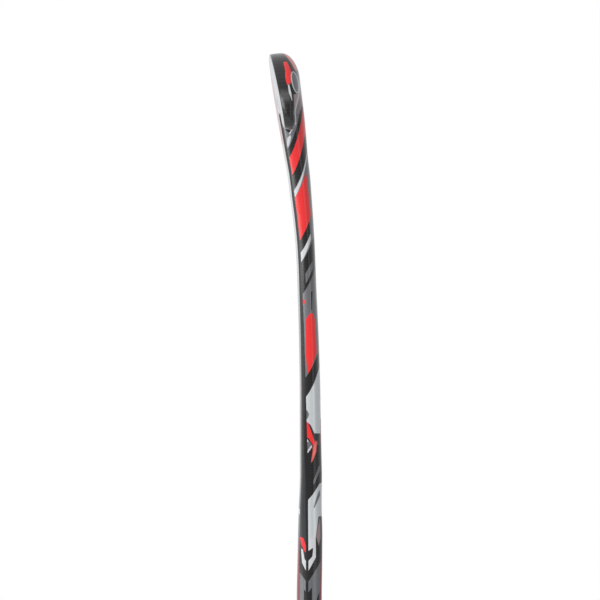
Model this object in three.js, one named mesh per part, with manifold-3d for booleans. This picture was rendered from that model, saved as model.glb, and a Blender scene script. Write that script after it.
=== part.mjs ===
// Composite field stick with a one-piece J-shaped hook, a flat playing face and a round handle.
// Millimetres. The butt cap's end face sits on z = 0, the handle axis is +Z and the hook is at the top.
// The flat face looks to -Y and the toe of the hook points to +X.
import * as THREE from 'three';
import { mergeVertices } from 'three/addons/utils/BufferGeometryUtils.js';
import Module from 'manifold-3d';

const wasm = await Module();
wasm.setup();

// Overall shape
const LENGTH = 927;
const HOOK_RADIUS = 36;
const HOOK_START = 59;
const TOE_LIMB = 3;
const FACE_START = -43.7;
const FACE_LEAN = 0.176;
const FACE_FLAT_END = 110;
const CORNER_RADIUS = 3;
const WALL = 3;
const FIT = 0.3;

// Handle build-up
const HANDLE_RADIUS = 13;
const CAP_RADIUS = 18.6;
const CAP_THICK = 5;
const CAP_SKIRT = 19;
const UNDERLAY_TOP = 347;
const GRIP_BOTTOM = CAP_THICK + 0.4;
const GRIP_TOP = 350;
const GRIP_PITCH = 24;
const TAPE_BOTTOM = 339;
const TAPE_TOP = 360;

// Pieces inside
const CORE_END = 150;
const TUBE_HEAD_END = 152;
const TUBE_BUTT_END = LENGTH - 200;
const TUBE_WALL = 0.8;
const WEB_THICK = 2;
const PLUG_TOP = 60;
const DAMPER_BOTTOM = 64;
const DAMPER_TOP = 196;

// Distance of the flat face from the handle axis, by distance from the head end.
const FACE_LINE = [
  [90, FACE_START + 90 * FACE_LEAN],
  [FACE_FLAT_END, FACE_START + FACE_FLAT_END * FACE_LEAN],
  [125, FACE_START + 125 * FACE_LEAN],
  [150, -18.6],
  [175, -15.5],
  [200, -13.2],
  [225, -11.9],
  [250, -11.1],
  [275, -10.3],
  [300, -9.7],
  [350, -9.1],
  [430, -9.1],
  [475, -11.1],
  [525, -12.3],
  [562, -HANDLE_RADIUS],
  [LENGTH + 10, -HANDLE_RADIUS],
];
// Thickness from face to back and half width, by distance along the centre line:
// positive up the shaft from the head end, negative round the hook to the toe.
const THICKNESS = [
  [-58, 14.6],
  [-48, 18.6],
  [-40, 21.8],
  [-22, 25.4],
  [0, 27.6],
  [28, 28.4],
  [59, 27.6],
  [85, 25.5],
  [110, 23.3],
  [150, 21.2],
  [200, 18.9],
  [225, 18.6],
  [300, 19.7],
  [400, 21.5],
  [450, 22.8],
  [500, 25.4],
  [562, 2 * HANDLE_RADIUS],
  [LENGTH + 10, 2 * HANDLE_RADIUS],
];
const HALF_WIDTH = [
  [-58, 17.4],
  [-40, 18.8],
  [0, 22.9],
  [40, 24.7],
  [75, 25],
  [150, 24.8],
  [225, 24],
  [300, 21.8],
  [400, 18.6],
  [500, 15.2],
  [562, HANDLE_RADIUS],
  [LENGTH + 10, HANDLE_RADIUS],
];

// Smooth curve through a table that never overshoots it.
function along(table, x) {
  const last = table.length - 1;
  if (x <= table[0][0]) return table[0][1];
  if (x >= table[last][0]) return table[last][1];
  const slope = (i) => (table[i + 1][1] - table[i][1]) / (table[i + 1][0] - table[i][0]);
  const tangent = (i) => {
    if (i === 0) return slope(0);
    if (i === last) return slope(last - 1);
    const a = slope(i - 1);
    const b = slope(i);
    return a * b <= 0 ? 0 : (2 * a * b) / (a + b);
  };
  let i = 0;
  while (x > table[i + 1][0]) i += 1;
  const step = table[i + 1][0] - table[i][0];
  const t = (x - table[i][0]) / step;
  const t2 = t * t;
  const t3 = t2 * t;
  return (
    (2 * t3 - 3 * t2 + 1) * table[i][1] +
    (t3 - 2 * t2 + t) * step * tangent(i) +
    (3 * t2 - 2 * t3) * table[i + 1][1] +
    (t3 - t2) * step * tangent(i + 1)
  );
}

function faceLine(fromHead) {
  if (fromHead <= FACE_FLAT_END) return FACE_START + FACE_LEAN * fromHead;
  return along(FACE_LINE, fromHead);
}

// How round the section is: 0 is the flat-faced D of the shaft, 1 is the handle's circle.
function roundness(u) {
  const t = Math.min(1, Math.max(0, (u - 420) / 135));
  return t * t * (3 - 2 * t);
}

// Toe-side half of the section as [across, up from face], from the crown of the back to mid face.
function halfSection(u, inset) {
  const w = along(HALF_WIDTH, u) - inset;
  const t = along(THICKNESS, u) - 2 * inset;
  const corner = Math.max(0.8, CORNER_RADIUS - inset);
  const waist = 0.5 * t;
  const lean = 0.04 * w;
  const points = [0, 25, 48, 69, 90].map((deg) => {
    const a = (deg * Math.PI) / 180;
    return [w * Math.sin(a), waist + (t - waist) * Math.cos(a)];
  });
  points.push([w - 0.1 * lean, 0.75 * waist]);
  for (const deg of [0, 45, 90]) {
    const a = (deg * Math.PI) / 180;
    points.push([w - lean - corner * (1 - Math.cos(a)), corner * (1 - Math.sin(a))]);
  }
  points.push([0.45 * w, 0]);
  points.push([0, 0]);
  const k = roundness(u);
  return points.map(([x, y]) => {
    const angle = Math.atan2(x / w, (y - t / 2) / (t / 2));
    const roundX = w * Math.sin(angle);
    const roundY = t / 2 + (t / 2) * Math.cos(angle);
    return [x + (roundX - x) * k, y + (roundY - y) * k];
  });
}

// Centre line point and sideways direction in the XZ plane.
function station(u) {
  const top = LENGTH - HOOK_START;
  if (u >= HOOK_START) return { x: 0, z: LENGTH - u, nx: 1, nz: 0 };
  const bend = (HOOK_START - u) / HOOK_RADIUS;
  if (bend <= Math.PI) {
    return {
      x: HOOK_RADIUS * (1 - Math.cos(bend)),
      z: top + HOOK_RADIUS * Math.sin(bend),
      nx: Math.cos(bend),
      nz: -Math.sin(bend),
    };
  }
  const past = HOOK_START - u - Math.PI * HOOK_RADIUS;
  return { x: 2 * HOOK_RADIUS, z: top - past, nx: -1, nz: 0 };
}
const TOE_END = HOOK_START - Math.PI * HOOK_RADIUS - TOE_LIMB;

// One ring of the limb. A turn above zero swings both halves round the toe's end.
function ring(u, inset, turn = 0) {
  const { x, z, nx, nz } = station(u);
  const half = halfSection(u, inset);
  const full = [
    ...half.map(([a, b]) => [a, b, 1]),
    ...half.slice(1, -1).reverse().map(([a, b]) => [a, b, -1]),
  ];
  return full.map(([a, b, side]) => {
    const across = a * side * Math.cos(turn);
    const ahead = a * Math.sin(turn);
    const px = x + across * nx + ahead * -nz;
    const pz = z + across * nz + ahead * nx;
    const py = faceLine(LENGTH - pz) + inset + b;
    return [px, py, pz];
  });
}

// Rings from the toe to the given end, with the toe rounded off in plan.
function limbRings(inset, stations) {
  const rings = [90, 66, 44, 22].map((deg) => ring(TOE_END, inset, (deg * Math.PI) / 180));
  return [...rings, ...stations.map((u) => ring(u, inset))];
}

// Builds a closed body out of faces given as corner positions.
class Body {
  constructor() {
    this.points = [];
    this.lookup = new Map();
    this.faces = [];
  }
  vertex(p) {
    const key = p.map((v) => Math.round(v * 500)).join(',');
    if (!this.lookup.has(key)) {
      this.lookup.set(key, this.points.length);
      this.points.push(p);
    }
    return this.lookup.get(key);
  }
  triangle(a, b, c) {
    const ids = [this.vertex(a), this.vertex(b), this.vertex(c)];
    if (new Set(ids).size === 3) this.faces.push(ids);
  }
  skin(rings, inward = false) {
    for (let i = 0; i + 1 < rings.length; i += 1) {
      this.band(rings[i], rings[i + 1], inward);
    }
  }
  band(low, high, inward = false) {
    const n = low.length;
    for (let j = 0; j < n; j += 1) {
      const k = (j + 1) % n;
      if (inward) {
        this.triangle(low[j], high[j], high[k]);
        this.triangle(low[j], high[k], low[k]);
      } else {
        this.triangle(low[j], high[k], high[j]);
        this.triangle(low[j], low[k], high[k]);
      }
    }
  }
  // Closes the first or last ring of a skin. The flat copy of the ring is what gets cut into triangles.
  cap(loop, first = false, flat = loop) {
    const contour = flat.map((p) => new THREE.Vector2(p[0], p[1]));
    const reversed = THREE.ShapeUtils.isClockWise(contour) !== first;
    for (const [a, b, c] of THREE.ShapeUtils.triangulateShape([...contour], [])) {
      const cross =
        (contour[b].x - contour[a].x) * (contour[c].y - contour[a].y) -
        (contour[b].y - contour[a].y) * (contour[c].x - contour[a].x);
      if (cross > 0 === reversed) this.triangle(loop[a], loop[c], loop[b]);
      else this.triangle(loop[a], loop[b], loop[c]);
    }
  }
  geometry() {
    let volume = 0;
    for (const [a, b, c] of this.faces) {
      const [p, q, r] = [a, b, c].map((i) => new THREE.Vector3(...this.points[i]));
      volume += p.dot(q.cross(r)) / 6;
    }
    const faces = volume < 0 ? this.faces.map(([a, b, c]) => [a, c, b]) : this.faces;
    const geometry = new THREE.BufferGeometry();
    geometry.setAttribute('position', new THREE.Float32BufferAttribute(this.points.flat(), 3));
    geometry.setIndex(faces.flat());
    geometry.computeVertexNormals();
    return geometry;
  }
}

function toManifold(geometry) {
  const bare = geometry.clone();
  bare.deleteAttribute('normal');
  bare.deleteAttribute('uv');
  const merged = mergeVertices(bare, 1e-4);
  return new wasm.Manifold(
    new wasm.Mesh({
      numProp: 3,
      vertProperties: new Float32Array(merged.attributes.position.array),
      triVerts: new Uint32Array(merged.index.array),
    }),
  );
}

function fromManifold(solid) {
  const mesh = solid.getMesh();
  const geometry = new THREE.BufferGeometry();
  geometry.setAttribute('position', new THREE.BufferAttribute(mesh.vertProperties, 3));
  geometry.setIndex(new THREE.BufferAttribute(mesh.triVerts, 1));
  geometry.computeVertexNormals();
  return geometry;
}

// Turned part on the handle axis from [radius, z] pairs that start and end on the axis or close a loop.
function turned(profile, segments = 36) {
  const lathe = new THREE.LatheGeometry(
    profile.map(([r, z]) => new THREE.Vector2(r, z)),
    segments,
  );
  lathe.rotateX(Math.PI / 2);
  const body = new Body();
  const p = lathe.attributes.position;
  const index = lathe.index.array;
  const at = (i) => [p.getX(i), p.getY(i), p.getZ(i)];
  for (let i = 0; i < index.length; i += 3) {
    body.triangle(at(index[i]), at(index[i + 1]), at(index[i + 2]));
  }
  return body.geometry();
}

const group = new THREE.Group();
group.name = 'field_stick';
function addPiece(name, geometry, colour, roughness, metalness = 0) {
  const material = new THREE.MeshStandardMaterial({ color: colour, roughness, metalness });
  material.name = name;
  const mesh = new THREE.Mesh(geometry, material);
  mesh.name = name;
  group.add(mesh);
}

function spread(from, to, count) {
  return Array.from({ length: count + 1 }, (_, i) => from + ((to - from) * i) / count);
}

// Outer shell: one laminate skin from toe to butt, hollow and open at the butt end.
const HOOK_TOP = HOOK_START - (Math.PI / 2) * HOOK_RADIUS;
const hookStations = [
  ...spread(TOE_END, HOOK_TOP, 11),
  ...spread(HOOK_TOP, HOOK_START, 9).slice(1),
];
const shaftStations = [
  ...spread(HOOK_START, 230, 11).slice(1),
  ...spread(230, 410, 7).slice(1),
  ...spread(410, 570, 9).slice(1),
  LENGTH - CAP_THICK - FIT,
];
const skin = limbRings(0, [...hookStations, ...shaftStations]);
const bore = limbRings(WALL, [
  ...spread(TOE_END, HOOK_START, 14),
  ...spread(HOOK_START, 230, 8).slice(1),
  ...spread(230, 410, 5).slice(1),
  ...spread(410, 570, 7).slice(1),
  LENGTH - CAP_THICK - FIT,
]);
const shell = new Body();
shell.skin(skin);
shell.skin(bore, true);
shell.band(skin[skin.length - 1], bore[bore.length - 1]);
addPiece('outer_shell', shell.geometry(), 0x8d8f94, 0.35, 0.3);

// Rigid foam core that fills the hook and runs a little way up the shaft.
const core = new Body();
const coreRings = limbRings(WALL + 0.5, [
  ...spread(TOE_END, HOOK_START, 14),
  ...spread(HOOK_START, CORE_END, 5).slice(1),
]);
core.skin(coreRings);
core.cap(coreRings[coreRings.length - 1]);
addPiece('head_foam_core', core.geometry(), 0xd8c79a, 0.9);

// Twin inner tubes, one each side of the shaft, and the web that stands between them.
function chamberRing(u, side, inset, edge) {
  const z = LENGTH - u;
  const base = faceLine(u) + inset;
  return halfSection(u, inset).map(([a, b]) => [side * Math.max(a, edge), base + b, z]);
}
const tubeStations = [
  ...spread(TUBE_HEAD_END, 250, 4),
  ...spread(250, 410, 4).slice(1),
  ...spread(410, 570, 6).slice(1),
  TUBE_BUTT_END,
];
function chamberTube(side) {
  const edge = WEB_THICK / 2 + FIT;
  const outside = tubeStations.map((u) => chamberRing(u, side, WALL + 0.6, edge));
  const inside = tubeStations.map((u) =>
    chamberRing(u, side, WALL + 0.6 + TUBE_WALL, edge + TUBE_WALL),
  );
  const tube = new Body();
  tube.skin(outside);
  tube.skin(inside, true);
  tube.band(inside[0], outside[0]);
  tube.band(outside[outside.length - 1], inside[inside.length - 1]);
  return tube.geometry();
}
addPiece('toe_side_tube', chamberTube(1), 0x9fb3bd, 0.6);
addPiece('heel_side_tube', chamberTube(-1), 0x9fb3bd, 0.6);

const web = new Body();
const webRings = tubeStations.map((u) => {
  const z = LENGTH - u;
  const low = faceLine(u) + WALL + 0.6;
  const high = faceLine(u) + along(THICKNESS, u) - WALL - 0.7;
  const half = WEB_THICK / 2;
  return [
    [-half, low, z],
    [half, low, z],
    [half, high, z],
    [-half, high, z],
  ];
});
web.skin(webRings);
web.cap(webRings[0], true);
web.cap(webRings[webRings.length - 1]);
addPiece('centre_web', web.geometry(), 0x2b2c2f, 0.5);

// Handle bore: damper sleeve, then the foam plug that closes the end.
const boreRadius = HANDLE_RADIUS - WALL - 2 * FIT;
addPiece(
  'damper_sleeve',
  turned([
    [boreRadius - 2.5, DAMPER_BOTTOM],
    [boreRadius, DAMPER_BOTTOM],
    [boreRadius, DAMPER_TOP],
    [boreRadius - 2.5, DAMPER_TOP],
    [boreRadius - 2.5, DAMPER_BOTTOM],
  ]),
  0x3a4a57,
  0.8,
);
addPiece(
  'handle_plug',
  turned([
    [0, CAP_THICK + FIT],
    [boreRadius - 1, CAP_THICK + FIT],
    [boreRadius, CAP_THICK + 1.3],
    [boreRadius, PLUG_TOP - 1],
    [boreRadius - 1, PLUG_TOP],
    [0, PLUG_TOP],
  ]),
  0xcabf9f,
  0.9,
);

// Rubber butt cap: a flat-ended disc, flared past the grip, with a thin skirt over the handle.
const skirtInner = HANDLE_RADIUS + FIT;
addPiece(
  'butt_cap',
  turned(
    [
      [0, 0],
      [CAP_RADIUS - 0.8, 0],
      [CAP_RADIUS - 0.2, 0.4],
      [CAP_RADIUS, 1.2],
      [CAP_RADIUS - 0.3, 3],
      [CAP_RADIUS - 1, 4.2],
      [CAP_RADIUS - 2, CAP_THICK],
      [skirtInner + 0.9, CAP_THICK],
      [skirtInner + 0.8, CAP_THICK + CAP_SKIRT],
      [skirtInner, CAP_THICK + CAP_SKIRT],
      [skirtInner, CAP_THICK],
      [0, CAP_THICK],
    ],
    48,
  ),
  0x1d1e20,
  0.75,
);

// Thin foam underlay between the bare handle and the outer grip.
addPiece(
  'grip_underlay',
  turned([
    [skirtInner, CAP_THICK + CAP_SKIRT + 0.5],
    [skirtInner + 0.8, CAP_THICK + CAP_SKIRT + 0.5],
    [skirtInner + 0.8, UNDERLAY_TOP],
    [skirtInner, UNDERLAY_TOP],
    [skirtInner, CAP_THICK + CAP_SKIRT + 0.5],
  ]),
  0xe8e6df,
  0.9,
);

// Outer grip: one strip wound up the handle with skived edges that lap over the turn below.
function gripStrip() {
  const inner = skirtInner + 1.2;
  const outer = inner + 1.5;
  const section = [
    [0, inner],
    [GRIP_PITCH - 0.7, inner],
    [GRIP_PITCH - 2.4, outer],
    [GRIP_PITCH - 7, outer + 0.35],
    [4, outer + 0.35],
    [-1.7, outer],
  ];
  const turns = (GRIP_TOP - GRIP_BOTTOM) / GRIP_PITCH + 2.2;
  const perTurn = 18;
  const rings = spread(0, Math.ceil(turns * perTurn), Math.ceil(turns * perTurn)).map((i) => {
    const angle = (i / perTurn) * 2 * Math.PI;
    const rise = GRIP_BOTTOM - 1.1 * GRIP_PITCH + (GRIP_PITCH * i) / perTurn;
    return section.map(([s, r]) => [r * Math.cos(angle), r * Math.sin(angle), rise + s]);
  });
  const strip = new Body();
  strip.skin(rings);
  strip.cap(rings[0], true, section);
  strip.cap(rings[rings.length - 1], false, section);
  const slab = new THREE.BoxGeometry(60, 60, GRIP_TOP - GRIP_BOTTOM);
  slab.translate(0, 0, (GRIP_TOP + GRIP_BOTTOM) / 2);
  return fromManifold(toManifold(strip.geometry()).intersect(toManifold(slab)));
}
addPiece('grip_wrap', gripStrip(), 0x26272a, 0.85);

// Finishing tape: a thin band that steps from the end of the grip down to the shaft.
const gripRadius = skirtInner + 1.2 + 1.5 + 0.35;
addPiece(
  'finishing_tape',
  turned([
    [gripRadius + 0.3, TAPE_BOTTOM],
    [gripRadius + 0.65, TAPE_BOTTOM],
    [gripRadius + 0.65, GRIP_TOP + 0.7],
    [skirtInner + 0.45, GRIP_TOP + 5.4],
    [skirtInner + 0.4, TAPE_TOP],
    [skirtInner + 0.05, TAPE_TOP],
    [skirtInner + 0.05, GRIP_TOP + 5],
    [gripRadius + 0.3, GRIP_TOP + 0.4],
    [gripRadius + 0.3, TAPE_BOTTOM],
  ]),
  0x17181a,
  0.6,
);

export default group;
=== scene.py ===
import math

import bmesh
import bpy
import numpy as np
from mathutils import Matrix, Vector


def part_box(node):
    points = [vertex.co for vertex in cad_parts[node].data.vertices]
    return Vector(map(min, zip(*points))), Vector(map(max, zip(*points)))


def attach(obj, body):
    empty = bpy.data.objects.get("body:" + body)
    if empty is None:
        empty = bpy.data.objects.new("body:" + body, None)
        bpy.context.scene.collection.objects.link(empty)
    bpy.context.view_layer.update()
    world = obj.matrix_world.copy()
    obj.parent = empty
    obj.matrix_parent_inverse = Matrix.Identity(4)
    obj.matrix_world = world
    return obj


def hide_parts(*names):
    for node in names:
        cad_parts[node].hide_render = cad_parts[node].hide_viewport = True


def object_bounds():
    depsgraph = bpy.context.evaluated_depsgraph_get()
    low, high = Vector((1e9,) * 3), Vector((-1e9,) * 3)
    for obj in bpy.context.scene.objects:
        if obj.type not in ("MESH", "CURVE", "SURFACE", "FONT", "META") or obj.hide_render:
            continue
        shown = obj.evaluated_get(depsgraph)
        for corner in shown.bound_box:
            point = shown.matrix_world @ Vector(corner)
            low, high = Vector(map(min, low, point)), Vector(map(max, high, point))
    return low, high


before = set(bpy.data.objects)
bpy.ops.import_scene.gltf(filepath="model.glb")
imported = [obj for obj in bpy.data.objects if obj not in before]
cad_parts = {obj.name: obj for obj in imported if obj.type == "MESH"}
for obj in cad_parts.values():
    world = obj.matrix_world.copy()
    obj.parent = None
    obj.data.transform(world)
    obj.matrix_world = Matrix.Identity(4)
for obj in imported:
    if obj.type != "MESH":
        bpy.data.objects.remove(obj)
scene = bpy.context.scene
cad_low, cad_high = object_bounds()

# Camera and room.
# The stick is seen edge-on from its toe side, turned a little towards the playing face.
# The view is level and covers the hook and the upper shaft, down to just above the grip.
head_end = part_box("outer_shell")[1].z
VIEW_AZIMUTH = math.radians(87.3)
VIEW_DISTANCE = 8.0
VIEW_WIDTH = 0.6210
SENSOR_WIDTH = 36.0
aim = Vector((0.0, -0.0096, head_end - 0.2543))
camera = bpy.data.objects.new("camera", bpy.data.cameras.new("camera"))
scene.collection.objects.link(camera)
toward = Vector((math.sin(VIEW_AZIMUTH), -math.cos(VIEW_AZIMUTH), 0.0))
camera.location = aim + toward * VIEW_DISTANCE
camera.rotation_mode = "QUATERNION"
camera.rotation_quaternion = (-toward).to_track_quat("-Z", "Y")
camera.data.sensor_width = SENSOR_WIDTH
camera.data.lens = SENSOR_WIDTH * VIEW_DISTANCE / VIEW_WIDTH
camera.data.clip_start = 0.05
camera.data.clip_end = 60.0
scene.camera = camera
scene.view_settings.view_transform = "Standard"
scene.view_settings.look = "None"


def softbox(name, position, target, size, power):
    """An area light at position that looks at target. size is (width, height) in metres and
    power is in watts."""
    light = bpy.data.lights.new(name, "AREA")
    light.shape = "RECTANGLE"
    light.size, light.size_y = size
    light.energy = power
    lamp = bpy.data.objects.new(name, light)
    lamp.location = position
    lamp.rotation_mode = "QUATERNION"
    lamp.rotation_quaternion = (Vector(target) - Vector(position)).to_track_quat("-Z", "Y")
    scene.collection.objects.link(lamp)


middle = (0.0, 0.0, 0.62)
softbox("light_face_side", (1.66, -1.38, 1.02), (0.0, 0.0, 0.84), (1.56, 0.9), 21.0)
softbox("light_high", (2.0, 0.0, 1.75), middle, (2.2, 0.8), 10.0)
softbox("light_fill_back", (1.6, 1.7, 0.8), middle, (1.4, 1.8), 5.0)
softbox("light_fill_face", (0.3, -2.3, 0.8), middle, (1.4, 1.8), 5.0)

# The room is white on the face side, greyer behind the back and dim behind the camera.
world = bpy.data.worlds.new("room")
scene.world = world
world.use_nodes = True
w_nodes, w_links = world.node_tree.nodes, world.node_tree.links
w_nodes.clear()
w_out = w_nodes.new("ShaderNodeOutputWorld")
w_path = w_nodes.new("ShaderNodeLightPath")
w_mix = w_nodes.new("ShaderNodeMixShader")
w_way = w_nodes.new("ShaderNodeNewGeometry")
w_axis = w_nodes.new("ShaderNodeSeparateXYZ")
w_links.new(w_way.outputs["Incoming"], w_axis.inputs[0])
w_fall = w_nodes.new("ShaderNodeMapRange")
w_fall.interpolation_type = "SMOOTHSTEP"
w_fall.inputs["From Min"].default_value = -0.95
w_fall.inputs["From Max"].default_value = -0.35
w_fall.inputs["To Min"].default_value = 0.26
w_fall.inputs["To Max"].default_value = 0.85
w_links.new(w_axis.outputs["X"], w_fall.inputs["Value"])
w_back = w_nodes.new("ShaderNodeMapRange")
w_back.interpolation_type = "SMOOTHSTEP"
w_back.inputs["From Min"].default_value = -0.9
w_back.inputs["From Max"].default_value = 0.4
w_back.inputs["To Min"].default_value = 0.45
w_links.new(w_axis.outputs["Y"], w_back.inputs["Value"])
w_level = w_nodes.new("ShaderNodeMath")
w_level.operation = "MULTIPLY"
w_links.new(w_fall.outputs["Result"], w_level.inputs[0])
w_links.new(w_back.outputs["Result"], w_level.inputs[1])
w_room = w_nodes.new("ShaderNodeBackground")
w_room.inputs["Color"].default_value = (0.97, 0.98, 1.0, 1.0)
w_links.new(w_level.outputs[0], w_room.inputs["Strength"])
w_seen = w_nodes.new("ShaderNodeBackground")
w_seen.inputs["Color"].default_value = (1.0, 1.0, 1.0, 1.0)
w_seen.inputs["Strength"].default_value = 1.0
w_links.new(w_path.outputs["Is Camera Ray"], w_mix.inputs["Fac"])
w_links.new(w_room.outputs[0], w_mix.inputs[1])
w_links.new(w_seen.outputs[0], w_mix.inputs[2])
w_links.new(w_mix.outputs[0], w_out.inputs["Surface"])

# The floor is pale and matt, and fades out into the white room before its rim.
FLOOR_RADIUS, FADE_START, FADE_END = 3.2, 0.3, 3.0
floor_mesh = bpy.data.meshes.new("floor")
b = bmesh.new()
bmesh.ops.create_circle(b, cap_ends=True, radius=FLOOR_RADIUS, segments=96)
b.to_mesh(floor_mesh)
b.free()
floor = bpy.data.objects.new("floor", floor_mesh)
floor.location = (0.0, 0.0, cad_low.z - 0.0005)
scene.collection.objects.link(floor)
floor_paint = bpy.data.materials.new("floor_paint")
floor_paint.use_nodes = True
floor_bsdf = floor_paint.node_tree.nodes["Principled BSDF"]
floor_bsdf.inputs["Base Color"].default_value = (0.86, 0.86, 0.86, 1.0)
floor_bsdf.inputs["Roughness"].default_value = 0.9
floor_bsdf.inputs["Specular IOR Level"].default_value = 0.1
f_nodes, f_links = floor_paint.node_tree.nodes, floor_paint.node_tree.links
f_place = f_nodes.new("ShaderNodeTexCoord")
f_reach = f_nodes.new("ShaderNodeVectorMath")
f_reach.operation = "LENGTH"
f_links.new(f_place.outputs["Object"], f_reach.inputs[0])
f_fade = f_nodes.new("ShaderNodeMapRange")
f_fade.interpolation_type = "SMOOTHSTEP"
f_fade.inputs["From Min"].default_value = FADE_START
f_fade.inputs["From Max"].default_value = FADE_END
f_fade.inputs["To Min"].default_value = 1.0
f_fade.inputs["To Max"].default_value = 0.0
f_links.new(f_reach.outputs["Value"], f_fade.inputs["Value"])
f_links.new(f_fade.outputs["Result"], floor_bsdf.inputs["Alpha"])
floor_mesh.materials.append(floor_paint)

# Outer shell: the laminate skin of hook, shaft and bare handle in one surface.
# The section is a D with a flat face that turns into the handle's circle, swept along a J.
# Distances v run along the centre line from the head end, below zero round the hook to the toe.
MM = 0.001
LENGTH = round(head_end / MM)
HOOK_RADIUS, HOOK_START, TOE_LIMB = 36.0, 59.0, 3.0
FACE_START, FACE_LEAN, FACE_FLAT_END = -43.7, 0.176, 110.0
CORNER_RADIUS, HANDLE_RADIUS = 3.0, 13.0
TOE_END = HOOK_START - math.pi * HOOK_RADIUS - TOE_LIMB
FACE_LINE = [
    (90, FACE_START + 90 * FACE_LEAN), (110, FACE_START + 110 * FACE_LEAN),
    (125, FACE_START + 125 * FACE_LEAN), (150, -18.6), (175, -15.5), (200, -13.2),
    (225, -11.9), (250, -11.1), (275, -10.3), (300, -9.7), (350, -9.1), (430, -9.1),
    (475, -11.1), (525, -12.3), (562, -HANDLE_RADIUS), (937, -HANDLE_RADIUS),
]
THICKNESS = [
    (-58, 14.6), (-48, 18.6), (-40, 21.8), (-22, 25.4), (0, 27.6), (28, 28.4), (59, 27.6), (85, 25.5),
    (110, 23.3), (150, 21.2), (200, 18.9), (225, 18.6), (300, 19.7), (400, 21.5), (450, 22.8),
    (500, 25.4), (562, 26), (937, 26),
]
HALF_WIDTH = [
    (-58, 17.4), (-40, 18.8), (0, 22.9), (40, 24.7), (75, 25), (150, 24.8), (225, 24),
    (300, 21.8), (400, 18.6), (500, 15.2), (562, 13), (937, 13),
]
# How far up from the flat face the edge line of the paint runs, as a height and a drop below it.
EDGE_LINE = [(-80, 2.8), (-40, 3.0), (150, 3.0), (300, 4.0), (410, 6.0), (565, 10.4), (937, 10.4)]
LINE_DROP = [
    (-80, 0.6), (-40, 0.8), (60, 1.7), (220, 2.0), (300, 1.9), (400, 1.0), (450, 0.3), (490, 0),
    (937, 0),
]


def along(table, x):
    """Smooth curve through (distance, value) pairs that never overshoots them: cubic pieces
    whose slope at each pair is the harmonic mean of the slopes on its two sides."""
    k, y = np.array(table, float).T
    slope = np.diff(y) / np.diff(k)
    before, after = slope[:-1], slope[1:]
    total = np.where(before + after == 0, 1.0, before + after)
    inner = np.where(before * after <= 0, 0.0, 2 * before * after / total)
    tangent = np.concatenate([slope[:1], inner, slope[-1:]])
    i = np.clip(np.searchsorted(k, x, side="right") - 1, 0, len(k) - 2)
    step = k[i + 1] - k[i]
    t = np.clip((x - k[i]) / step, 0.0, 1.0)
    return (
        (2 * t**3 - 3 * t**2 + 1) * y[i]
        + (t**3 - 2 * t**2 + t) * step * tangent[i]
        + (3 * t**2 - 2 * t**3) * y[i + 1]
        + (t**3 - t**2) * step * tangent[i + 1]
    )


def face_height(from_head):
    """Y of the flat face: one plane over the hook, then the bow of the shaft."""
    flat = FACE_START + FACE_LEAN * from_head
    return np.where(from_head <= FACE_FLAT_END, flat, along(FACE_LINE, from_head))


def half_section(v):
    """Half of the section from the crown of the back to mid face, as (across, up from face).
    A quarter ellipse, a side wall that leans in, a corner arc and the flat face, blended
    towards a circle down the handle."""
    w, t = float(along(HALF_WIDTH, v)), float(along(THICKNESS, v))
    waist, lean = t / 2, 0.04 * w
    a = np.linspace(0, np.pi / 2, 48)
    crown = np.stack([w * np.sin(a), waist + (t - waist) * np.cos(a)], 1)
    tilt = math.atan(2 * lean / (waist - CORNER_RADIUS))
    b = np.linspace(waist, CORNER_RADIUS * (1 - math.sin(tilt)), 18)[1:]
    wall = np.stack([w - lean * ((waist - b) / (waist - CORNER_RADIUS)) ** 2, b], 1)
    centre = wall[-1, 0] - CORNER_RADIUS * math.cos(tilt)
    a = np.linspace(tilt, np.pi / 2, 16)[1:]
    corner = np.stack(
        [centre + CORNER_RADIUS * np.cos(a), CORNER_RADIUS * (1 - np.sin(a))], 1
    )
    x = np.linspace(centre, 0, 24)[1:]
    half = np.concatenate([crown, wall, corner, np.stack([x, 0 * x], 1)])
    k = min(1.0, max(0.0, (v - 420) / 135))
    k = k * k * (3 - 2 * k)
    angle = np.arctan2(half[:, 0] / w, (half[:, 1] - t / 2) / (t / 2))
    circle = np.stack([w * np.sin(angle), t / 2 + t / 2 * np.cos(angle)], 1)
    return half + (circle - half) * k


def centre_line(v):
    """Point and sideways direction of the J in the XZ plane: x, z, nx, nz."""
    top = LENGTH - HOOK_START
    if v >= HOOK_START:
        return 0.0, LENGTH - v, 1.0, 0.0
    bend = (HOOK_START - v) / HOOK_RADIUS
    if bend <= math.pi:
        c, s = math.cos(bend), math.sin(bend)
        return HOOK_RADIUS * (1 - c), top + HOOK_RADIUS * s, c, -s
    return 2 * HOOK_RADIUS, top - (HOOK_START - v - math.pi * HOOK_RADIUS), -1.0, 0.0


BACK_COLUMNS, FACE_COLUMNS = 38, 16


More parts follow.
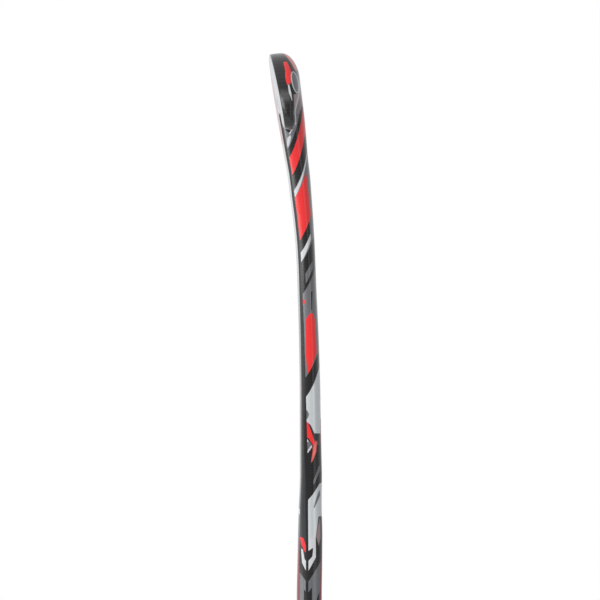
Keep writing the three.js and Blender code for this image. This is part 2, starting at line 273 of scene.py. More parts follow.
def ring(v, turn=0.0):
    """One closed ring of the skin and its paint coordinates: u, the arc length in mm from the
    edge line, above zero over the back and below zero on the face; v; the side; the distance
    from the middle plane; and the height over the flat face. Columns go toe-side edge, back,
    heel-side edge, face. turn swings both halves round the end of the toe."""
    half = half_section(v)
    arc = np.concatenate([[0.0], np.cumsum(np.hypot(*np.diff(half, axis=0).T))])
    edge = np.interp(float(along(EDGE_LINE, v)), half[::-1, 1], arc[::-1])
    back = np.linspace(edge, 0.0, BACK_COLUMNS + 1)
    face = np.linspace(arc[-1], edge, FACE_COLUMNS + 1)
    at = np.concatenate([back, back[-2::-1], face[-2::-1], face[1:-1]])
    side = np.concatenate([
        np.ones(BACK_COLUMNS), -np.ones(BACK_COLUMNS + 1),
        -np.ones(FACE_COLUMNS), np.ones(FACE_COLUMNS - 1),
    ])
    a = np.interp(at, arc, half[:, 0])
    up = np.interp(at, arc, half[:, 1])
    x, z, nx, nz = centre_line(v)
    across, ahead = a * side * math.cos(turn), a * math.sin(turn)
    px, pz = x + across * nx - ahead * nz, z + across * nz + ahead * nx
    py = face_height(LENGTH - pz) + up
    return np.stack([px, py, pz], 1) * MM, edge - at, v - ahead, side, a, up


stations = np.concatenate([
    np.linspace(TOE_END, HOOK_START, 112),
    np.linspace(HOOK_START, 572, 440)[1:],
    np.linspace(572, LENGTH - 5.4, 30)[1:],
])
rings = [ring(TOE_END, math.radians(d)) for d in np.linspace(90, 0, 20)[:-1]]
rings += [ring(v) for v in stations]
points = np.concatenate([r[0] for r in rings])
u, v, side, off_middle, over_face = (
    np.concatenate([r[i] for r in rings]) for i in range(1, 6)
)
columns = len(rings[0][0])

# The printed line sits below the edge: u is stretched near it, so that it is zero on the line.
STRETCH_REACH = 3
drop = along(LINE_DROP, v)
u = np.where(u < STRETCH_REACH, (u + drop) * STRETCH_REACH / (STRETCH_REACH + drop), u)

# Paint on the shell: slashes that lean back from the edge line towards the head, drawn as a
# side elevation and sprayed alike on both sides, so that they meet as chevrons on the back.
# Later areas cover earlier ones. Each colour keeps a distance field that its material reads.
LINE_HEIGHT = [(-80, 2.4), (60, 1.7), (220, 1.7), (300, 2.4), (400, 4.9), (565, 10.4), (937, 10.4)]
PAST_CROWN = 30.0


def slash(start, end, reach=PAST_CROWN, taper=0.0):
    """A leaning band that leaves the edge line between two distances from the head end. At height
    e it has moved 1.2 e + 0.035 e squared towards the head; taper is the part of its width
    that it loses on the way to reach."""
    e = np.linspace(0.0, reach, 8)
    lean = 1.2 * e + 0.035 * e**2
    width = (end - start) * (1 - taper * e / reach)
    upper = list(zip(e, start - lean))
    lower = list(zip(e, start + width - lean))
    return upper + lower[::-1]


def oval(height, down, half_width, half_length):
    """An ellipse round a point, as 24 points."""
    t = np.arange(24) * np.pi / 12
    return list(zip(height + half_width * np.cos(t), down + half_length * np.sin(t)))


# SIDE areas are (height over the edge line, distance from the head end) on both sides. OUTER
# ones lie only on the outside of the hook. LIMB ones lie on the outside of its toe and are
# (height, drop below the top). STRIPE ones are (distance from the middle plane, distance from
# the head end). They are meant for the crown of the back, but also colour the middle of the face.
SIDE, OUTER, LIMB, STRIPE = range(4)
PAINT = [
    (SIDE, "mid", [(0, 62), (40, 62), (40, 338), (0, 338)]),
    (STRIPE, "dusk", [(-1, 24), (12, 30), (18, 58), (18, 90), (-1, 96)]),
    # hook
    (OUTER, "black", [(-1.2, -90), (40, -90), (40, 6), (14, 44), (-1.2, 60)]),
    (LIMB, "red", [(10, 10), (14, 9.5), (16, 18), (14, 30), (12, 33), (8.5, 34), (8.5, 26), (10, 19)]),
    (LIMB, "white", [(9.5, 34), (11, 34), (11.5, 43), (11, 52), (9, 42)]),
    (LIMB, "blush", [(13.5, 1), (17, 1), (22, 8), (24, 18), (21, 19), (18, 10)]),
    (LIMB, "silver", oval(18, 31, 4.2, 11.5)),
    (LIMB, "mid", oval(18.2, 31, 3.1, 10.3)),
    (LIMB, "rose", [(13.5, 44), (24, 41), (24, 52), (18, 63), (12, 77), (10, 77), (11.5, 62)]),
    # slashes from the hook down the shaft
    (SIDE, "black", [(2, 76), (9, 76), (8, 79.5), (5, 82), (3, 80)]),
    (SIDE, "black", slash(100, 109)),
    (SIDE, "silver", [(14, 70), (15, 71.5), (9, 79.5), (6, 84), (5, 83)]),
    (SIDE, "white", [(1.5, 93), (3, 87), (6.5, 83.5), (7, 86), (4, 93), (1.5, 98)]),
    (SIDE, "red", slash(109, 127)),
    (SIDE, "black", slash(127, 142)),
    (SIDE, "white", slash(143, 150, taper=1.0)),
    (SIDE, "red", slash(150, 194, 16)),
    (SIDE, "black", slash(194, 207, 13)),
    (SIDE, "white", slash(207, 217, 13, 0.4)),
    (SIDE, "black", slash(217, 250)),
    (SIDE, "mid", [(5, 227), (13, 214), (13, 222), (5, 238)]),
    (SIDE, "red", [(0, 251), (4.5, 256), (0, 261)]),
    (SIDE, "black", [(10, 246), (12, 244), (11, 256), (10.5, 265), (9.6, 265)]),
    # middle of the shaft
    (SIDE, "red", [(3.5, 274), (8, 268), (11.5, 268), (13.5, 276), (14, 308), (4, 334), (2.2, 310)]),
    (SIDE, "black", slash(336, 356)),
    (SIDE, "silver", [(0, 356), (5, 349), (10, 340), (30, 290), (30, 392), (9, 392), (5, 383), (0, 379)]),
    (STRIPE, "deep", [(-1, 322), (8, 334), (8, 356), (-1, 360)]),
    (STRIPE, "deep", [(-1, 372), (9, 378), (9, 402), (-1, 402)]),
    (SIDE, "mid", [(0.5, 368), (2, 368), (4, 372.5), (2, 377), (0.5, 377)]),
    (SIDE, "red", [(0, 379), (2.5, 381), (6, 391), (9, 401), (7.5, 405), (3, 397), (0, 396)]),
    (SIDE, "white", [(0.5, 397), (3, 400), (0.5, 402)]),
    (SIDE, "mid", [(0.5, 402), (3.5, 400), (6.5, 405), (3, 410), (0.5, 411)]),
    (SIDE, "white", [(0.5, 411), (5.5, 404), (6, 406), (1, 413)]),
    (SIDE, "black", [(0, 414), (10.5, 404), (30, 404), (30, 436), (13, 444), (6, 455), (0, 462)]),
    (SIDE, "blush", [(10, 400), (11.5, 401), (10.5, 411), (7, 419), (4, 424), (6.5, 410), (8, 403)]),
    (SIDE, "mid", [(6.3, 441), (12, 427), (13.5, 424), (13.5, 431), (10, 438), (6.6, 446)]),
    # silver panel and the nested chevrons above the grip
    (SIDE, "silver", [(0, 462), (6, 455), (13, 444), (30, 436), (30, 478), (12, 478), (8.5, 502), (0, 514)]),
    (SIDE, "mid", [(7, 468), (10, 458), (13, 450), (14, 456), (7.4, 470)]),
    (SIDE, "mid", [(11, 486), (14, 476), (14, 486), (11, 491)]),
    (SIDE, "rose", [(9.5, 499), (11, 488), (14, 482), (14, 500), (12, 508)]),
    (SIDE, "white", [(-8, 470), (-7, 470), (-7, 476), (-8, 476)]),
    (SIDE, "mid", [(-12, 530), (0, 547), (12, 528), (16, 520), (16, 640), (-12, 640)]),
    (SIDE, "red", [(-7.5, 499), (-4, 500), (-1.5, 508), (-1.2, 516), (-3, 514), (-6, 507)]),
    (SIDE, "white", [(-6.4, 511), (-4.5, 512), (-3, 522), (-0.6, 525), (-0.6, 536), (-5.5, 526)]),
    (SIDE, "white", [(8.8, 500), (8.8, 520), (0.6, 535), (0.6, 500)]),
    (SIDE, "black", [(6, 510), (5.2, 519), (0, 525), (-3, 521), (-3, 517), (0.6, 514)]),
    (SIDE, "black", [
        (9.2, 499), (12.5, 512), (12.3, 524), (6.5, 537), (0, 546), (-5.5, 538), (-8.2, 528),
        (-8, 512), (-6.6, 511), (-5.7, 526), (-0.6, 536.3), (0.6, 535.3), (9, 520),
    ]),
    (SIDE, "black", [(-3.5, 553), (0, 558), (4.8, 551), (4.8, 574), (-3.5, 574)]),
    (SIDE, "black", [(12.6, 556), (10, 563), (10, 574), (13, 574)]),
    (STRIPE, "deep", [(-1, 492), (6, 505), (7.5, 530), (7.5, 640), (-1, 640)]),
]
COLOURS = ["red", "black", "white", "silver", "mid", "rose", "dusk", "deep", "blush"]


def distance_to(shape, x, y):
    """Signed distance in mm from each (x, y) to a closed outline, below zero inside."""
    near = np.full(len(x), 1e9)
    inside = np.zeros(len(x), bool)
    for (ax, ay), (bx, by) in zip(shape, shape[1:] + shape[:1]):
        ex, ey = bx - ax, by - ay
        if ex == 0 and ey == 0:
            continue
        t = np.clip(((x - ax) * ex + (y - ay) * ey) / (ex * ex + ey * ey), 0, 1)
        near = np.minimum(near, np.hypot(x - ax - t * ex, y - ay - t * ey))
        if ay != by:
            crossing = ((ay > y) != (by > y)) & (x < ex * (y - ay) / ey + ax)
            inside ^= crossing
    return np.where(inside, -near, near)


FAR = 30.0
fields = {c: np.full(len(u), FAR) for c in COLOURS}
height = over_face - along(LINE_HEIGHT, v)
drop_below_top = LENGTH - points[:, 2] / MM
on_limb = (side < 0) & (v < HOOK_START) & (points[:, 0] > HOOK_RADIUS * MM)
for where, colour, outline in PAINT:
    if where == LIMB:
        d = np.where(on_limb, distance_to(outline, height, drop_below_top), FAR)
    elif where == STRIPE:
        d = distance_to(outline, off_middle, v)
    else:
        d = distance_to(outline, height, v)
    if where == OUTER:
        d = np.where(side < 0, d, FAR)
    for c in COLOURS:
        fields[c] = np.minimum(fields[c], d) if c == colour else np.maximum(fields[c], -d)

assert all(np.isfinite(f).all() for f in fields.values())

# Points that fall together at the tip of the toe are merged, and faces left with two corners
# are dropped.
MERGE_STEP = 2e-6
grid = np.arange(len(points)).reshape(len(rings), columns)
keys = np.round(points / MERGE_STEP).astype(np.int64)
_, first, same = np.unique(keys, axis=0, return_index=True, return_inverse=True)
same = same.reshape(-1)
quads = np.stack([
    grid[:-1], np.roll(grid, -1, 1)[:-1], np.roll(grid, -1, 1)[1:], grid[1:],
], -1).reshape(-1, 4)
faces = []
for q in same[quads]:
    corners = list(dict.fromkeys(q.tolist()))
    if len(corners) > 2:
        faces.append(corners)
whole = bpy.data.meshes.new("whole_skin")
whole.from_pydata(points[first].tolist(), [], faces)
whole.update()
normals = np.empty(len(first) * 3, np.float32)
whole.vertices.foreach_get("normal", normals)
normals = normals.reshape(-1, 3)
bpy.data.meshes.remove(whole)

# The skin is kept as two pieces that meet in a plain part of the shaft, with shared normals.
PIECE_SPLIT = 404.0
paint = bpy.data.materials.new("lacquered_paint")
for piece_name, wanted in (("shell_head", True), ("shell_handle", False)):
    kept = [f for f in faces if (v[first[f]].mean() < PIECE_SPLIT) == wanted]
    used = np.unique(np.concatenate(kept))
    renumber = dict(zip(used.tolist(), range(len(used))))
    mesh = bpy.data.meshes.new(piece_name)
    mesh.from_pydata(
        points[first[used]].tolist(), [], [[renumber[i] for i in f] for f in kept]
    )
    for name, values in (
        ("paint_u", u), ("paint_v", v),
        *((f"paint_{c}", fields[c]) for c in COLOURS),
    ):
        layer = mesh.attributes.new(name, "FLOAT", "POINT")
        layer.data.foreach_set("value", values[first[used]].astype(np.float32))
    mesh.polygons.foreach_set("use_smooth", np.ones(len(kept), bool))
    mesh.normals_split_custom_set_from_vertices(normals[used].tolist())
    mesh.materials.append(paint)
    mesh.update()
    piece = bpy.data.objects.new(piece_name, mesh)
    scene.collection.objects.link(piece)
    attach(piece, "root")
    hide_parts("outer_shell")


# Lacquered paint over carbon laminate.
# The colour areas come from the fields, with a printed edge line, fine metal flake in the
# silvers, a faint twill under the blacks and a slightly uneven clear coat over everything.
def new_group(name, inputs, outputs):
    """An empty node group with float sockets, as (tree, input node, output node)."""
    tree = bpy.data.node_groups.new(name, "ShaderNodeTree")
    for socket in inputs:
        tree.interface.new_socket(socket, in_out="INPUT", socket_type="NodeSocketFloat")
    for socket, kind in outputs:
        tree.interface.new_socket(socket, in_out="OUTPUT", socket_type=kind)
    return tree, tree.nodes.new("NodeGroupInput"), tree.nodes.new("NodeGroupOutput")


def math_node(tree, operation, a, b=None, c=None, clamp=False):
    """A math node. Each operand is a number or an output socket."""
    node = tree.nodes.new("ShaderNodeMath")
    node.operation = operation
    node.use_clamp = clamp
    for socket, value in zip(node.inputs, (a, b, c)):
        if value is None:
            continue
        if isinstance(value, (int, float)):
            socket.default_value = value
        else:
            tree.links.new(value, socket)
    return node.outputs[0]


# Twill: over-two-under-two tows on the diagonal, from coordinates in mm.
twill, t_in, t_out = new_group(
    "twill", ["Across", "Along", "Tow"], [("Shade", "NodeSocketFloat")]
)
t_a = math_node(twill, "DIVIDE", t_in.outputs["Across"], t_in.outputs["Tow"])
t_b = math_node(twill, "DIVIDE", t_in.outputs["Along"], t_in.outputs["Tow"])
t_step = math_node(twill, "ADD", math_node(twill, "FLOOR", t_a), math_node(twill, "FLOOR", t_b))
t_over = math_node(twill, "LESS_THAN", math_node(twill, "FLOORED_MODULO", t_step, 4.0), 2.0)
t_shade = math_node(twill, "MULTIPLY_ADD", t_over, 0.55, 0.25)
twill.links.new(t_shade, t_out.inputs["Shade"])


def srgb(r, g, b):
    """Colour from 0 to 255 display values, as a linear RGBA tuple."""
    return tuple(
        (c / 255 / 12.92) if c < 11 else ((c / 255 + 0.055) / 1.055) ** 2.4 for c in (r, g, b)
    ) + (1.0,)


def attribute(tree, name):
    """The Fac output of a mesh attribute."""
    node = tree.nodes.new("ShaderNodeAttribute")
    node.attribute_name = name
    return node.outputs["Fac"]


def blend_colour(tree, factor, a, b):
    """A colour mix. Each colour is an RGBA tuple or an output socket. Inputs 6 and 7 and output
    2 are the mix node's colour sockets."""
    node = tree.nodes.new("ShaderNodeMix")
    node.data_type = "RGBA"
    tree.links.new(factor, node.inputs["Factor"])
    for socket, value in ((node.inputs[6], a), (node.inputs[7], b)):
        if isinstance(value, tuple):
            socket.default_value = value
        else:
            tree.links.new(value, socket)
    return node.outputs[2]


def noise(tree, scale, detail=2.0, rough=0.5, vector=None):
    """Noise in object space, or in the given coordinates."""
    node = tree.nodes.new("ShaderNodeTexNoise")
    node.inputs["Scale"].default_value = scale
    node.inputs["Detail"].default_value = detail
    node.inputs["Roughness"].default_value = rough
    if vector is None:
        vector = tree.nodes.new("ShaderNodeTexCoord").outputs["Object"]
    tree.links.new(vector, node.inputs["Vector"])
    return node.outputs["Fac"]


def ramp(tree, value, low, high, out_low=0.0, out_high=1.0):
    """Maps low..high to out_low..out_high with a smooth step."""
    node = tree.nodes.new("ShaderNodeMapRange")
    node.interpolation_type = "SMOOTHSTEP"
    node.inputs["From Min"].default_value = low
    node.inputs["From Max"].default_value = high
    node.inputs["To Min"].default_value = out_low
    node.inputs["To Max"].default_value = out_high
    tree.links.new(value, node.inputs["Value"])
    return node.outputs["Result"]


paint.use_nodes = True
tree = paint.node_tree
bsdf = tree.nodes["Principled BSDF"]
pu, pv = attribute(tree, "paint_u"), attribute(tree, "paint_v")
flake = ramp(tree, noise(tree, 2600.0, 1.0), 0.45, 0.62)
cloud = noise(tree, 26.0, 3.0)

# Flat face and bare laminate: silver over the hook that falls to graphite down the shaft.
face_fade = ramp(tree, math_node(tree, "MULTIPLY_ADD", cloud, 24.0, pv), 215.0, 300.0)
graphite = blend_colour(tree, flake, srgb(38, 39, 41), srgb(54, 56, 59))
face_silver = blend_colour(tree, flake, srgb(202, 204, 205), srgb(212, 214, 215))
# The graphite at the foot of the face fade is a little lighter than the side's graphite: painted reflection
# of the glossy face.
face_graphite_with_reflection = blend_colour(tree, flake, srgb(44, 45, 47), srgb(56, 58, 61))
face_colour = blend_colour(tree, face_fade, face_silver, face_graphite_with_reflection)
on_face = ramp(tree, pu, 0.1, -0.1)
# Grey ground over the sides next to the edge line, down to 300 mm and fading into graphite by 350 mm: a
# painted highlight that stands for the soft reflection along the rounded edge. It is also the plain ground
# on the parts of the hook that no area covers.
ground_grey_and_edge_highlight = blend_colour(tree, flake, srgb(122, 123, 127), srgb(140, 142, 146))
side_ground_and_edge_highlight = blend_colour(tree, ramp(tree, pv, 300.0, 350.0), ground_grey_and_edge_highlight, graphite)
ground = blend_colour(tree, on_face, side_ground_and_edge_highlight, face_colour)

weave = tree.nodes.new("ShaderNodeGroup")
weave.node_tree = twill
weave.inputs["Tow"].default_value = 1.6
tree.links.new(math_node(tree, "ADD", pu, pv), weave.inputs["Across"])
tree.links.new(math_node(tree, "SUBTRACT", pv, pu), weave.inputs["Along"])
carbon = blend_colour(tree, weave.outputs["Shade"], srgb(18, 18, 19), srgb(37, 35, 35))
COATS = {
    "mid": (srgb(112, 113, 116), srgb(128, 129, 132)),
    "rose": (srgb(150, 128, 128), srgb(166, 146, 146)),
    "deep": (srgb(136, 56, 58), srgb(150, 66, 68)),
    "dusk": (srgb(182, 84, 90), srgb(192, 94, 100)),
    "blush": (srgb(246, 106, 100), srgb(250, 120, 112)),
    "silver": (srgb(212, 217, 219), srgb(228, 232, 234)),
    "white": (srgb(206, 208, 210), srgb(214, 216, 218)),
    "red": (srgb(238, 46, 48), srgb(242, 54, 54)),
}
# Half the width in mm over which each area's edge blends. The sprayed areas are soft.
SOFTNESS = {"rose": 0.8, "dusk": 4.0, "deep": 1.4, "blush": 1.6}
CRISP = 0.12
colour = ground
metal = math_node(tree, "MULTIPLY", on_face, math_node(tree, "SUBTRACT", 1.0, face_fade))
for c in ("mid", "dusk", "rose", "deep", "blush", "silver", "white", "red", "black"):
    soft = SOFTNESS.get(c, CRISP)
    mask = ramp(tree, attribute(tree, f"paint_{c}"), soft, -soft)
    if c == "black":
        tone = carbon
    else:
        tone = blend_colour(tree, flake, *COATS[c])
    colour = blend_colour(tree, mask, colour, tone)
    metal = math_node(tree, "MULTIPLY", metal, math_node(tree, "SUBTRACT", 1.0, mask))
    if c in ("silver", "mid"):
        metal = math_node(tree, "ADD", metal, mask, clamp=True)

# The printed line along both edges of the shaft, from the hook to the grip.
LINE_OFFSET, LINE_INNER, LINE_OUTER = 0.35, 1.2, 1.55
line = math_node(tree, "ABSOLUTE", math_node(tree, "ADD", pu, LINE_OFFSET))
line = ramp(tree, line, LINE_OUTER, LINE_INNER)
line = math_node(tree, "MULTIPLY", line, ramp(tree, pv, 60.0, 64.0))
colour = blend_colour(tree, line, colour, srgb(24, 24, 26))
tree.links.new(colour, bsdf.inputs["Base Color"])
tree.links.new(math_node(tree, "MULTIPLY", metal, 0.45), bsdf.inputs["Metallic"])
tree.links.new(
    math_node(tree, "MULTIPLY_ADD", cloud, 0.14, 0.30), bsdf.inputs["Roughness"]
)
bsdf.inputs["Specular IOR Level"].default_value = 0.15
bsdf.inputs["Coat Weight"].default_value = 1.0
bsdf.inputs["Coat Roughness"].default_value = 0.19
bsdf.inputs["Coat IOR"].default_value = 1.5
peel = tree.nodes.new("ShaderNodeBump")
peel.inputs["Strength"].default_value = 0.05
peel.inputs["Distance"].default_value = 0.0006
tree.links.new(noise(tree, 420.0, 2.0), peel.inputs["Height"])
tree.links.new(peel.outputs["Normal"], bsdf.inputs["Coat Normal"])

# Outer grip: one strip of soft polyurethane wound up the handle.
# Its edges are skived thin and lap over the turn below, and both ends are cut square.
# paint_s runs across the strip and paint_l along it, both in mm.
grip_low, grip_high = (c.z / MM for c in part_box("grip_wrap"))

# The strip's lower end is pressed down onto the cap.
GRIP_SEAT = 0.35
grip_low -= GRIP_SEAT
GRIP_PITCH, GRIP_INNER = 24.0, HANDLE_RADIUS + 1.5
strip_section = [
    (0.0, 0.0), (GRIP_PITCH - 0.7, 0.0), (GRIP_PITCH - 1.6, 0.9), (GRIP_PITCH - 2.6, 1.45),
    (GRIP_PITCH - 4.0, 1.62), (GRIP_PITCH - 7.0, 1.72), (15.0, 1.78), (11.0, 1.80),
    (7.0, 1.80), (4.0, 1.76), (1.5, 1.70), (-0.4, 1.62), (-1.4, 1.52), (-1.8, 1.38),
]
PER_TURN = 56
count = int(((grip_high - grip_low) / GRIP_PITCH + 2.2) * PER_TURN)
s_at, r_at = np.array(strip_section).T
angle = np.arange(count + 1)[:, None] * 2 * np.pi / PER_TURN
z_at = grip_low - 1.1 * GRIP_PITCH + GRIP_PITCH * angle / (2 * np.pi) + s_at[None, :]
r_all = GRIP_INNER + np.broadcast_to(r_at, z_at.shape)
z_cut = np.clip(z_at, grip_low, grip_high)
strip_points = np.stack([r_all * np.cos(angle), r_all * np.sin(angle), z_cut], -1) * MM
n = len(strip_section)
rows = np.arange(count)[:, None] * n
j = np.arange(n)[None, :]
k = (j + 1) % n
strip_quads = np.stack([rows + j, rows + k, rows + n + k, rows + n + j], -1)
inside_cut = (z_at > grip_low - 1e-6) & (z_at < grip_high + 1e-6)
flat_cut = inside_cut.reshape(-1)
strip_faces = [q for q in strip_quads.reshape(-1, 4).tolist() if flat_cut[q].any()]
used = sorted({i for q in strip_faces for i in q})
renumber = {old: new for new, old in enumerate(used)}
grip_mesh = bpy.data.meshes.new("grip")
grip_mesh.from_pydata(
    strip_points.reshape(-1, 3)[used].tolist(), [],
    [[renumber[i] for i in q] for q in strip_faces],
)
for name, values in (
    ("paint_s", np.broadcast_to(s_at, z_at.shape)),
    ("paint_l", np.broadcast_to(angle * (GRIP_INNER + 1.8), z_at.shape)),
):
    layer = grip_mesh.attributes.new(name, "FLOAT", "POINT")
    flat = np.ascontiguousarray(values).reshape(-1)
    layer.data.foreach_set("value", flat[used].astype(np.float32))
grip_mesh.polygons.foreach_set("use_smooth", np.ones(len(grip_mesh.polygons), bool))
grip_mesh.update()
grip = bpy.data.objects.new("grip_strip", grip_mesh)
scene.collection.objects.link(grip)
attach(grip, "root")
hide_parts("grip_wrap")

# Soft black synthetic leather.
# It has pin-pricked rows, a fine pebble grain and hand polish in patches.
leather = bpy.data.materials.new("grip_leather")
leather.use_nodes = True
tree = leather.node_tree
bsdf = tree.nodes["Principled BSDF"]
gs, gl = attribute(tree, "paint_s"), attribute(tree, "paint_l")
PRICK_PITCH = 3.2
row_s = math_node(tree, "FLOORED_MODULO", gs, PRICK_PITCH)
row_s = math_node(tree, "SUBTRACT", row_s, PRICK_PITCH / 2)
row_number = math_node(tree, "FLOOR", math_node(tree, "DIVIDE", gs, PRICK_PITCH))
odd_row = math_node(tree, "FLOORED_MODULO", row_number, 2.0)
stagger = math_node(tree, "MULTIPLY", odd_row, PRICK_PITCH / 2)
row_l = math_node(tree, "FLOORED_MODULO", math_node(tree, "ADD", gl, stagger), PRICK_PITCH)
row_l = math_node(tree, "SUBTRACT", row_l, PRICK_PITCH / 2)
squares = math_node(
    tree, "ADD",
    math_node(tree, "MULTIPLY", row_s, row_s), math_node(tree, "MULTIPLY", row_l, row_l),
)
prick = math_node(tree, "SQRT", squares)
hole = ramp(tree, prick, 0.52, 0.34)
inner_part = math_node(tree, "MULTIPLY", ramp(tree, gs, 2.2, 2.6), ramp(tree, gs, 20.6, 20.2))
hole = math_node(tree, "MULTIPLY", hole, inner_part)
pebble = tree.nodes.new("ShaderNodeTexVoronoi")
pebble.inputs["Scale"].default_value = 1500.0
tree.links.new(tree.nodes.new("ShaderNodeTexCoord").outputs["Object"], pebble.inputs["Vector"])
polish = ramp(tree, noise(tree, 34.0, 4.0), 0.42, 0.66)
tone = blend_colour(tree, polish, srgb(30, 31, 33), srgb(42, 43, 45))
edge_dark = ramp(tree, gs, -0.2, -1.5)
tone = blend_colour(tree, edge_dark, tone, srgb(18, 18, 19))
# Near black in the pin holes is painted shade; the dents themselves come from the bump below.
tone = blend_colour(tree, hole, tone, srgb(7, 7, 8))
tree.links.new(tone, bsdf.inputs["Base Color"])
tree.links.new(math_node(tree, "MULTIPLY_ADD", polish, -0.16, 0.72), bsdf.inputs["Roughness"])
bsdf.inputs["Specular IOR Level"].default_value = 0.42
grain = math_node(tree, "MULTIPLY", pebble.outputs["Distance"], 0.35)
depth = math_node(tree, "MULTIPLY_ADD", hole, -1.0, grain)
dent = tree.nodes.new("ShaderNodeBump")
dent.inputs["Strength"].default_value = 0.6
dent.inputs["Distance"].default_value = 0.00035
tree.links.new(depth, dent.inputs["Height"])
tree.links.new(dent.outputs["Normal"], bsdf.inputs["Normal"])
grip_mesh.materials.append(leather)


# Finishing tape: two turns of thin stretched film over the top end of the grip.
# It steps down from the grip onto the bare shaft and sticks to both.
def turned(name, profile, segments, wave=None):
    """A smooth turned mesh on the handle axis from (radius, z) pairs in mm. A closed profile
    repeats its first pair. wave(angle, point index) adds to the radius."""
    closed = profile[0] == profile[-1]
    pairs = np.array(profile[:-1] if closed else profile, float)
    a = np.arange(segments) * 2 * np.pi / segments
    r = np.broadcast_to(pairs[:, 0], (segments, len(pairs))).copy()
    if wave is not None:
        r += wave(a[:, None], np.arange(len(pairs))[None, :])
    r[:, pairs[:, 0] == 0] = 0
    z = np.broadcast_to(pairs[:, 1], r.shape)
    xyz = np.stack([r * np.cos(a[:, None]), r * np.sin(a[:, None]), z], -1)
    m = len(pairs)
    made = []
    for i in range(segments):
        for q in range(m if closed else m - 1):
            nxt = (i + 1) % segments
            made.append([i * m + q, nxt * m + q, nxt * m + (q + 1) % m, i * m + (q + 1) % m])
    mesh = bpy.data.meshes.new(name)
    mesh.from_pydata((xyz.reshape(-1, 3) * MM).tolist(), [], made)
    work = bmesh.new()
    work.from_mesh(mesh)
    bmesh.ops.remove_doubles(work, verts=work.verts, dist=1e-7)
    bmesh.ops.recalc_face_normals(work, faces=work.faces)
    work.to_mesh(mesh)
    work.free()
    mesh.polygons.foreach_set("use_smooth", np.ones(len(mesh.polygons), bool))
    mesh.update()
    return mesh


def place(mesh, name, node):
    """Links the mesh as a piece that stands for one CAD node."""
    piece = bpy.data.objects.new(name, mesh)
    scene.collection.objects.link(piece)
    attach(piece, "root")
    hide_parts(node)


tape_low, tape_high = (c.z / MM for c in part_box("finishing_tape"))
tape_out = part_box("finishing_tape")[1].y / MM
shaft_r = HANDLE_RADIUS + 0.35
step_z = grip_high
tape_profile = [
    (tape_out - 0.34, tape_low), (tape_out - 0.12, tape_low), (tape_out - 0.06, tape_low + 0.15),
    (tape_out - 0.06, step_z - 1.0), (tape_out - 0.10, step_z + 0.2), (tape_out - 0.55, step_z + 1.3),
    (shaft_r + 1.5, step_z + 3.4), (shaft_r + 0.55, step_z + 5.0), (shaft_r + 0.36, step_z + 6.0),
    (shaft_r + 0.32, tape_high - 0.15), (shaft_r + 0.26, tape_high), (shaft_r, tape_high),
    (shaft_r, step_z + 5.2), (tape_out - 0.34, step_z + 0.5), (tape_out - 0.34, tape_low),
]
outer_side = np.array([0, 1, 1, 1, 1, 1, 1, 1, 1, 1, 1, 0, 0, 0])
LAP_ANGLE, FILM_STEP, PULL = 1.0, 0.10, 0.015


def tape_lap(a, i):
    """Change in the outer radius: one film thickness less up to the angle where the last turn
    starts, and a slight three-sided pull from the stretching."""
    last_turn = (a > LAP_ANGLE) & (outer_side[i] > 0)
    step = np.where(last_turn, 0.0, -FILM_STEP * outer_side[i])
    return step + PULL * outer_side[i] * np.sin(3 * a)


tape_mesh = turned("tape", tape_profile, 144, tape_lap)
place(tape_mesh, "tape_band", "finishing_tape")
film = bpy.data.materials.new("tape_film")
film.use_nodes = True
tree = film.node_tree
bsdf = tree.nodes["Principled BSDF"]
smudge = ramp(tree, noise(tree, 60.0, 4.0), 0.4, 0.7)
tape_tone = blend_colour(tree, smudge, srgb(20, 20, 21), srgb(34, 34, 36))
tree.links.new(tape_tone, bsdf.inputs["Base Color"])
tape_rough = math_node(tree, "MULTIPLY_ADD", noise(tree, 90.0, 3.0), 0.2, 0.36)
tree.links.new(tape_rough, bsdf.inputs["Roughness"])
wrinkle = tree.nodes.new("ShaderNodeTexWave")
wrinkle.wave_type, wrinkle.bands_direction = "BANDS", "Z"
wrinkle.inputs["Scale"].default_value = 260.0
wrinkle.inputs["Distortion"].default_value = 5.0
wrinkle.inputs["Detail"].default_value = 2.0
tree.links.new(tree.nodes.new("ShaderNodeTexCoord").outputs["Object"], wrinkle.inputs["Vector"])
crease = tree.nodes.new("ShaderNodeBump")
crease.inputs["Strength"].default_value = 0.35
crease.inputs["Distance"].default_value = 0.00012
tree.links.new(wrinkle.outputs["Fac"], crease.inputs["Height"])
tree.links.new(crease.outputs["Normal"], bsdf.inputs["Normal"])
tape_mesh.materials.append(film)

# Rubber butt cap: moulded in one, with a skirt inside the grip's end and a flared flat end.
# The end has a rounded rim, a shallow ring groove and a dished centre.
cap_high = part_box("butt_cap")[1]
cap_r = cap_high.y / MM
skirt_z = cap_high.z / MM
inner_r = HANDLE_RADIUS + 0.3
cap_profile = [
    (0.0, 0.55), (3.2, 0.5), (3.8, 0.0), (9.6, 0.0), (9.9, 0.35), (10.7, 0.35), (11.0, 0.0),
    (cap_r - 1.1, 0.0), (cap_r - 0.6, 0.1), (cap_r - 0.22, 0.4), (cap_r - 0.04, 0.9),
    (cap_r - 0.01, 1.5), (cap_r - 0.12, 2.4), (cap_r - 0.42, 3.3), (cap_r - 1.0, 4.2),
    (cap_r - 1.6, 4.75), (cap_r - 2.3, 4.96),
    (inner_r + 1.0, 5.0), (inner_r + 0.85, 5.3), (inner_r + 0.75, skirt_z - 0.2),
    (inner_r + 0.55, skirt_z), (inner_r + 0.05, skirt_z), (inner_r + 0.02, skirt_z - 0.3),
    (inner_r + 0.02, 5.05), (inner_r - 0.3, 4.98), (0.0, 4.98),
]
cap_mesh = turned("butt_cap", cap_profile, 128)
place(cap_mesh, "butt_cap_rubber", "butt_cap")
rubber = bpy.data.materials.new("cap_rubber")
rubber.use_nodes = True
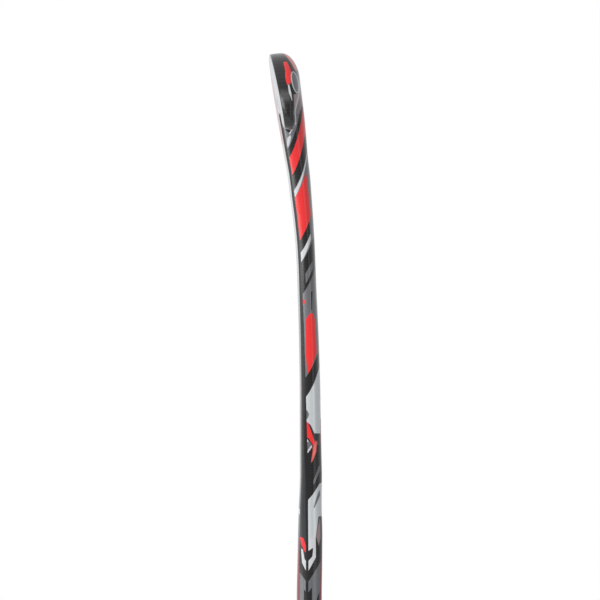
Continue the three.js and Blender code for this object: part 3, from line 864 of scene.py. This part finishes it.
tree = rubber.node_tree
bsdf = tree.nodes["Principled BSDF"]
scuff = ramp(tree, noise(tree, 120.0, 5.0, 0.62), 0.52, 0.7)
cap_tone = blend_colour(tree, scuff, srgb(26, 26, 27), srgb(52, 52, 53))
tree.links.new(cap_tone, bsdf.inputs["Base Color"])
tree.links.new(math_node(tree, "MULTIPLY_ADD", scuff, 0.2, 0.6), bsdf.inputs["Roughness"])
mould = tree.nodes.new("ShaderNodeBump")
mould.inputs["Strength"].default_value = 0.3
mould.inputs["Distance"].default_value = 0.0001
tree.links.new(noise(tree, 1800.0, 3.0), mould.inputs["Height"])
tree.links.new(mould.outputs["Normal"], bsdf.inputs["Normal"])
cap_mesh.materials.append(rubber)


# Pieces inside the shell and under the grip keep their CAD shapes.
# Rigid foam has cut cells, the inner tubes are crinkled film, the web is bare carbon cloth.
def inner_material(name, low_tone, high_tone, scale, rough, bump, cells):
    """Two tones mixed by noise, or by cell pattern, with a bump from the same pattern."""
    made = bpy.data.materials.new(name)
    made.use_nodes = True
    nt = made.node_tree
    shader = nt.nodes["Principled BSDF"]
    if cells:
        cell = nt.nodes.new("ShaderNodeTexVoronoi")
        cell.inputs["Scale"].default_value = scale
        nt.links.new(nt.nodes.new("ShaderNodeTexCoord").outputs["Object"], cell.inputs["Vector"])
        pattern = ramp(nt, cell.outputs["Distance"], 0.1, 0.6)
    else:
        pattern = noise(nt, scale, 5.0, 0.6)
    nt.links.new(blend_colour(nt, pattern, low_tone, high_tone), shader.inputs["Base Color"])
    nt.links.new(math_node(nt, "MULTIPLY_ADD", pattern, 0.15, rough), shader.inputs["Roughness"])
    relief = nt.nodes.new("ShaderNodeBump")
    relief.inputs["Strength"].default_value = 0.5
    relief.inputs["Distance"].default_value = bump
    nt.links.new(pattern, relief.inputs["Height"])
    nt.links.new(relief.outputs["Normal"], shader.inputs["Normal"])
    return made


foam = inner_material(
    "rigid_foam", srgb(196, 178, 132), srgb(222, 208, 168), 900.0, 0.78, 0.0002, True
)
film_tube = inner_material(
    "tube_film", srgb(150, 166, 172), srgb(182, 194, 198), 70.0, 0.34, 0.0004, False
)
damper = inner_material(
    "damper_rubber", srgb(44, 58, 70), srgb(58, 72, 84), 240.0, 0.62, 0.0001, False
)
underlay = inner_material(
    "soft_foam", srgb(212, 209, 198), srgb(230, 228, 220), 1400.0, 0.82, 0.0001, True
)
cloth = bpy.data.materials.new("bare_carbon")
cloth.use_nodes = True
tree = cloth.node_tree
bsdf = tree.nodes["Principled BSDF"]
place_at = tree.nodes.new("ShaderNodeSeparateXYZ")
tree.links.new(tree.nodes.new("ShaderNodeTexCoord").outputs["Object"], place_at.inputs[0])
weave = tree.nodes.new("ShaderNodeGroup")
weave.node_tree = twill
weave.inputs["Tow"].default_value = 0.0018
tree.links.new(place_at.outputs["Y"], weave.inputs["Across"])
tree.links.new(place_at.outputs["Z"], weave.inputs["Along"])
tree.links.new(
    blend_colour(tree, weave.outputs["Shade"], srgb(20, 20, 22), srgb(58, 58, 62)),
    bsdf.inputs["Base Color"],
)
bsdf.inputs["Roughness"].default_value = 0.45
for node_name, made in (
    ("head_foam_core", foam), ("handle_plug", foam), ("toe_side_tube", film_tube),
    ("heel_side_tube", film_tube), ("damper_sleeve", damper), ("grip_underlay", underlay),
    ("centre_web", cloth),
):
    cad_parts[node_name].material_slots[0].material = made
